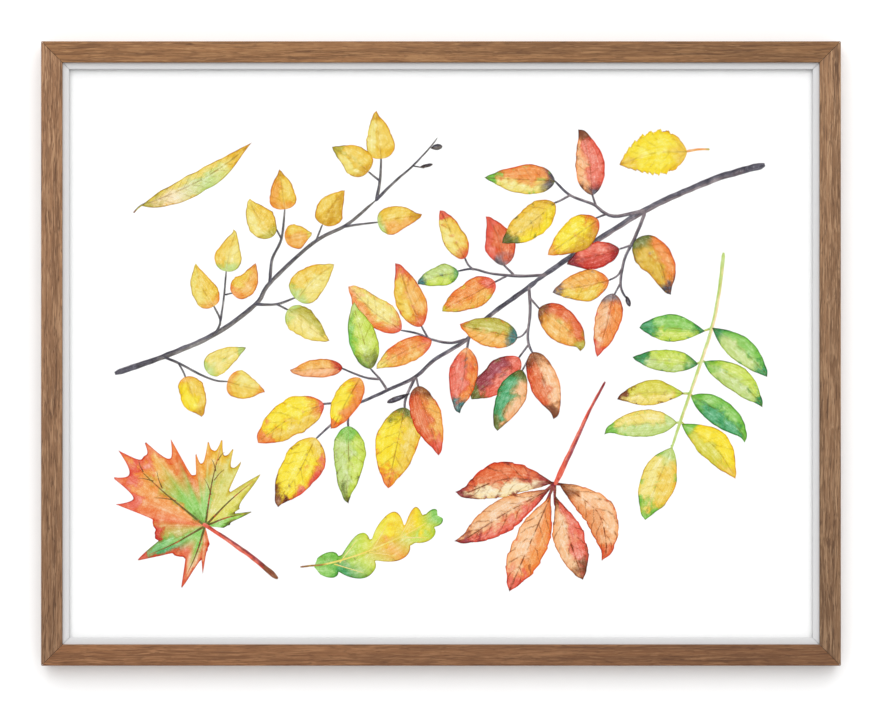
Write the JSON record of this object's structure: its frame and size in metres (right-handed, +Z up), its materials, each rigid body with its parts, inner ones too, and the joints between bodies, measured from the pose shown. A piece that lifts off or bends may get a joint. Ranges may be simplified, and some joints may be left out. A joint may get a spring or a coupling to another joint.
{
  "type": "framed botanical print",
  "caption": "Wall-hung wooden picture frame with mitred moulding, pale slip, glass and a printed sheet of autumn leaves, closed behind by a board that turn buttons hold in.",
  "frame": {"origin": "in the wall's plane, midway between the places where the two wall hooks bear on the inside of the strap hangers' rings", "axes": "+X to the picture's right as it is looked at, +Y from the front into the wall, +Z up"},
  "size_m": [0.68, 0.023, 0.531],
  "materials": {
    "moulding_wood": "stained open-grain wood, satin",
    "slip_paint": "matte pale grey-white paint",
    "picture_glass": "clear, low reflection",
    "print_paper": "matte white paper with watercolour-style print",
    "filler_board": "matte",
    "hardboard": "smooth brown hardboard",
    "zinc_steel": "zinc plated",
    "bumper_rubber": "matte"
  },
  "bodies": {
    "frame": {"backing_board": "hardboard", "button_screw_bottom_1": "zinc_steel", "button_screw_bottom_2": "zinc_steel", "button_screw_left": "zinc_steel", "button_screw_right": "zinc_steel", "button_screw_top_1": "zinc_steel", "button_screw_top_2": "zinc_steel", "corner_nail_bottom_left": "zinc_steel", "corner_nail_bottom_right": "zinc_steel", "corner_nail_top_left": "zinc_steel", "corner_nail_top_right": "zinc_steel", "filler_board": "filler_board", "glazing": "picture_glass", "hanger_screw_left_1": "zinc_steel", "hanger_screw_left_2": "zinc_steel", "hanger_screw_right_1": "zinc_steel", "hanger_screw_right_2": "zinc_steel", "hanger_strap_left": "zinc_steel", "hanger_strap_right": "zinc_steel", "print_sheet": "print_paper", "rail_bottom": "moulding_wood", "rail_top": "moulding_wood", "slip_bottom": "slip_paint", "slip_left": "slip_paint", "slip_right": "slip_paint", "slip_top": "slip_paint", "stile_left": "moulding_wood", "stile_right": "moulding_wood", "wall_bumper_left": "bumper_rubber", "wall_bumper_right": "bumper_rubber"},
    "turn_button_bottom_1": {"turn_button_bottom_1": "zinc_steel"},
    "turn_button_bottom_2": {"turn_button_bottom_2": "zinc_steel"},
    "turn_button_left": {"turn_button_left": "zinc_steel"},
    "turn_button_right": {"turn_button_right": "zinc_steel"},
    "turn_button_top_1": {"turn_button_top_1": "zinc_steel"},
    "turn_button_top_2": {"turn_button_top_2": "zinc_steel"},
    "hanger_ring_left": {"hanger_ring_left": "zinc_steel"},
    "hanger_ring_right": {"hanger_ring_right": "zinc_steel"}
  },
  "joints": [
    {"name": "turn_button_bottom_1_pivot", "type": "hinge", "parent": "frame", "child": "turn_button_bottom_1", "pos_m": [-0.19, -0.0041, -0.3945], "axis": [0, 1, 0], "range_deg": [-90, 90]},
    {"name": "turn_button_bottom_2_pivot", "type": "hinge", "parent": "frame", "child": "turn_button_bottom_2", "pos_m": [0.19, -0.0041, -0.3945], "axis": [0, 1, 0], "range_deg": [-90, 90]},
    {"name": "turn_button_left_pivot", "type": "hinge", "parent": "frame", "child": "turn_button_left", "pos_m": [-0.3335, -0.0041, -0.1355], "axis": [0, 1, 0], "range_deg": [-90, 90]},
    {"name": "turn_button_right_pivot", "type": "hinge", "parent": "frame", "child": "turn_button_right", "pos_m": [0.3335, -0.0041, -0.1355], "axis": [0, 1, 0], "range_deg": [-90, 90]},
    {"name": "turn_button_top_1_pivot", "type": "hinge", "parent": "frame", "child": "turn_button_top_1", "pos_m": [0.19, -0.0041, 0.1235], "axis": [0, 1, 0], "range_deg": [-90, 90]},
    {"name": "turn_button_top_2_pivot", "type": "hinge", "parent": "frame", "child": "turn_button_top_2", "pos_m": [-0.19, -0.0041, 0.1235], "axis": [0, 1, 0], "range_deg": [-90, 90]},
    {"name": "hanger_ring_left_swing", "type": "hinge", "parent": "frame", "child": "hanger_ring_left", "pos_m": [-0.3335, -0.0025, -0.011], "axis": [-1, 0, 0], "range_deg": [0, 165]},
    {"name": "hanger_ring_right_swing", "type": "hinge", "parent": "frame", "child": "hanger_ring_right", "pos_m": [0.3335, -0.0025, -0.011], "axis": [-1, 0, 0], "range_deg": [0, 165]}
  ]
}
